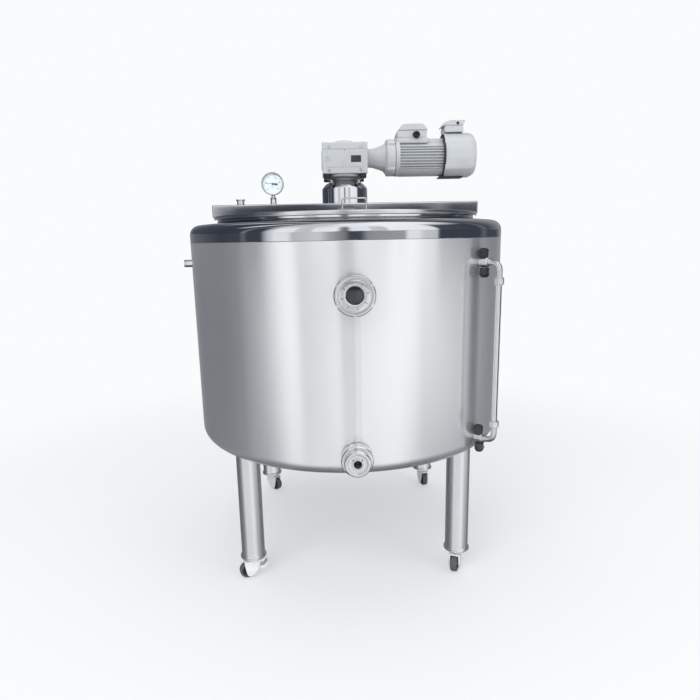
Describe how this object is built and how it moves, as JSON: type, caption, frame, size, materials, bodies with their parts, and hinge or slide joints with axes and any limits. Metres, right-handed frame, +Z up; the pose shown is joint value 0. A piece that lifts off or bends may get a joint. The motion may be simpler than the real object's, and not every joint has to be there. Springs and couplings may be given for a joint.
{
  "type": "bulk milk tank",
  "caption": "Jacketed stainless bulk milk tank on caster legs, half lids and bridge-mounted geared agitator motor",
  "frame": {"origin": "On the floor, on the tank's vertical axis. The front with the sight port and the outlet faces -Y and the bridge lies along X.", "axes": "right-handed, +Z up, +X to the right seen from the front, metres"},
  "size_m": [1.12, 1.137, 1.499],
  "materials": {
    "brushed_cladding": "vertical brushed stainless sheet",
    "polished_steel": "mirror polished stainless",
    "vessel_steel": "smooth food-grade stainless",
    "satin_steel": "satin stainless",
    "polished_fittings": "polished stainless fittings",
    "foam": "rigid polyurethane foam",
    "grey_enamel": "light grey enamel",
    "dark_iron": "dark coated iron",
    "black_rubber": "black seal rubber",
    "clear_glass": "clear borosilicate glass",
    "zinc_plate": "bright white-zinc plate",
    "grey_tread": "dark grey rubber tread"
  },
  "bodies": {
    "tank": {"outer_shell": "brushed_cladding", "foam_insulation": "foam", "jacket_wall": "vessel_steel", "inner_vessel": "vessel_steel", "top_collar": "polished_steel", "bridge_beam": "polished_steel", "hinge_rod_front": "polished_steel", "hinge_rod_rear": "polished_steel", "shaft_seal": "black_rubber", "lantern_stand": "polished_fittings", "drive_flange": "dark_iron", "gearbox_housing": "grey_enamel", "gearbox_cap": "grey_enamel", "motor_adapter": "grey_enamel", "motor_frame": "grey_enamel", "fan_cowl": "grey_enamel", "fan_motor": "dark_iron", "terminal_box": "grey_enamel", "cable_gland": "dark_iron", "fan_terminal_box": "grey_enamel", "sight_port_body": "polished_fittings", "sight_glass": "clear_glass", "sight_port_nut": "polished_fittings", "outlet_nozzle": "polished_fittings", "outlet_nut": "polished_fittings", "outlet_plug": "polished_fittings", "jacket_stub": "polished_fittings", "vent_stub": "polished_fittings", "dial_case": "polished_fittings", "thermometer_probe": "polished_fittings", "gauge_pipe_upper": "polished_fittings", "gauge_pipe_lower": "polished_fittings", "gauge_tube": "clear_glass", "leg_front_left": "satin_steel", "leg_front_right": "satin_steel", "leg_rear_left": "satin_steel", "leg_rear_right": "satin_steel"},
    "agitator": {"output_shaft": "satin_steel", "crown_gear": "satin_steel", "shaft_coupling": "satin_steel", "agitator_shaft": "satin_steel", "agitator_paddle": "satin_steel"},
    "rotor": {"motor_rotor": "satin_steel", "bevel_pinion": "satin_steel"},
    "fan": {"cooling_fan": "dark_iron"},
    "front_lid": {"lid_front": "polished_steel"},
    "rear_lid": {"lid_rear": "polished_steel"},
    "needle": {"dial_needle": "dark_iron"},
    "upper_cock": {"gauge_handle_upper": "polished_fittings"},
    "lower_cock": {"gauge_handle_lower": "polished_fittings"},
    "fork_front_left": {"caster_fork_front_left": "zinc_plate"},
    "wheel_front_left": {"caster_wheel_front_left": "grey_tread"},
    "fork_front_right": {"caster_fork_front_right": "zinc_plate"},
    "wheel_front_right": {"caster_wheel_front_right": "grey_tread"},
    "fork_rear_left": {"caster_fork_rear_left": "zinc_plate"},
    "wheel_rear_left": {"caster_wheel_rear_left": "grey_tread"},
    "fork_rear_right": {"caster_fork_rear_right": "zinc_plate"},
    "wheel_rear_right": {"caster_wheel_rear_right": "grey_tread"},
    "pedal_front_left": {"brake_pedal_front_left": "zinc_plate"},
    "pedal_front_right": {"brake_pedal_front_right": "zinc_plate"}
  },
  "joints": [
    {"name": "agitator_spin", "type": "hinge", "parent": "tank", "child": "agitator", "pos_m": [0, 0, 1], "axis": [0, 0, 1], "continuous": true},
    {"name": "motor_spin", "type": "hinge", "parent": "tank", "child": "rotor", "pos_m": [0.25, 0, 1.382], "axis": [1, 0, 0], "continuous": true},
    {"name": "fan_spin", "type": "hinge", "parent": "tank", "child": "fan", "pos_m": [0.375, 0, 1.382], "axis": [1, 0, 0], "continuous": true},
    {"name": "lid_front_hinge", "type": "hinge", "parent": "tank", "child": "front_lid", "pos_m": [0, -0.104, 1.195], "axis": [-1, 0, 0], "range_deg": [0, 90]},
    {"name": "lid_rear_hinge", "type": "hinge", "parent": "tank", "child": "rear_lid", "pos_m": [0, 0.104, 1.195], "axis": [1, 0, 0], "range_deg": [0, 90]},
    {"name": "needle_turn", "type": "hinge", "parent": "tank", "child": "needle", "pos_m": [-0.249, -0.049, 1.297], "axis": [0, -1, 0], "range_deg": [-225, 45]},
    {"name": "upper_cock_turn", "type": "hinge", "parent": "tank", "child": "upper_cock", "pos_m": [0.39669, -0.39669, 1.01], "axis": [0, 0, 1], "range_deg": [0, 90]},
    {"name": "lower_cock_turn", "type": "hinge", "parent": "tank", "child": "lower_cock", "pos_m": [0.39669, -0.39669, 0.46], "axis": [0, 0, 1], "range_deg": [0, 90]},
    {"name": "swivel_front_left", "type": "hinge", "parent": "tank", "child": "fork_front_left", "pos_m": [-0.343, -0.343, 0.07], "axis": [0, 0, 1], "continuous": true},
    {"name": "roll_front_left", "type": "hinge", "parent": "fork_front_left", "child": "wheel_front_left", "pos_m": [-0.36392, -0.3498, 0.027], "axis": [0.309, -0.9511, 0], "continuous": true},
    {"name": "brake_front_left", "type": "hinge", "parent": "fork_front_left", "child": "pedal_front_left", "pos_m": [-0.33254, -0.3396, 0.0315], "axis": [0.309, -0.9511, 0], "range_deg": [-12, 0]},
    {"name": "swivel_front_right", "type": "hinge", "parent": "tank", "child": "fork_front_right", "pos_m": [0.343, -0.343, 0.07], "axis": [0, 0, 1], "continuous": true},
    {"name": "roll_front_right", "type": "hinge", "parent": "fork_front_right", "child": "wheel_front_right", "pos_m": [0.3344, -0.36325, 0.027], "axis": [0.9205, -0.3907, 0], "continuous": true},
    {"name": "brake_front_right", "type": "hinge", "parent": "fork_front_right", "child": "pedal_front_right", "pos_m": [0.3473, -0.33287, 0.0315], "axis": [0.9205, -0.3907, 0], "range_deg": [-12, 0]},
    {"name": "swivel_rear_left", "type": "hinge", "parent": "tank", "child": "fork_rear_left", "pos_m": [-0.343, 0.343, 0.07], "axis": [0, 0, 1], "continuous": true},
    {"name": "roll_rear_left", "type": "hinge", "parent": "fork_rear_left", "child": "wheel_rear_left", "pos_m": [-0.32566, 0.32946, 0.027], "axis": [0.6157, 0.788, 0], "continuous": true},
    {"name": "swivel_rear_right", "type": "hinge", "parent": "tank", "child": "fork_rear_right", "pos_m": [0.343, 0.343, 0.07], "axis": [0, 0, 1], "continuous": true},
    {"name": "roll_rear_right", "type": "hinge", "parent": "fork_rear_right", "child": "wheel_rear_right", "pos_m": [0.34682, 0.32133, 0.027], "axis": [0.9848, 0.1736, 0], "continuous": true}
  ],
  "couplings": [
    {"joint": "motor_spin", "follows": "agitator_spin", "ratio": 15}
  ]
}
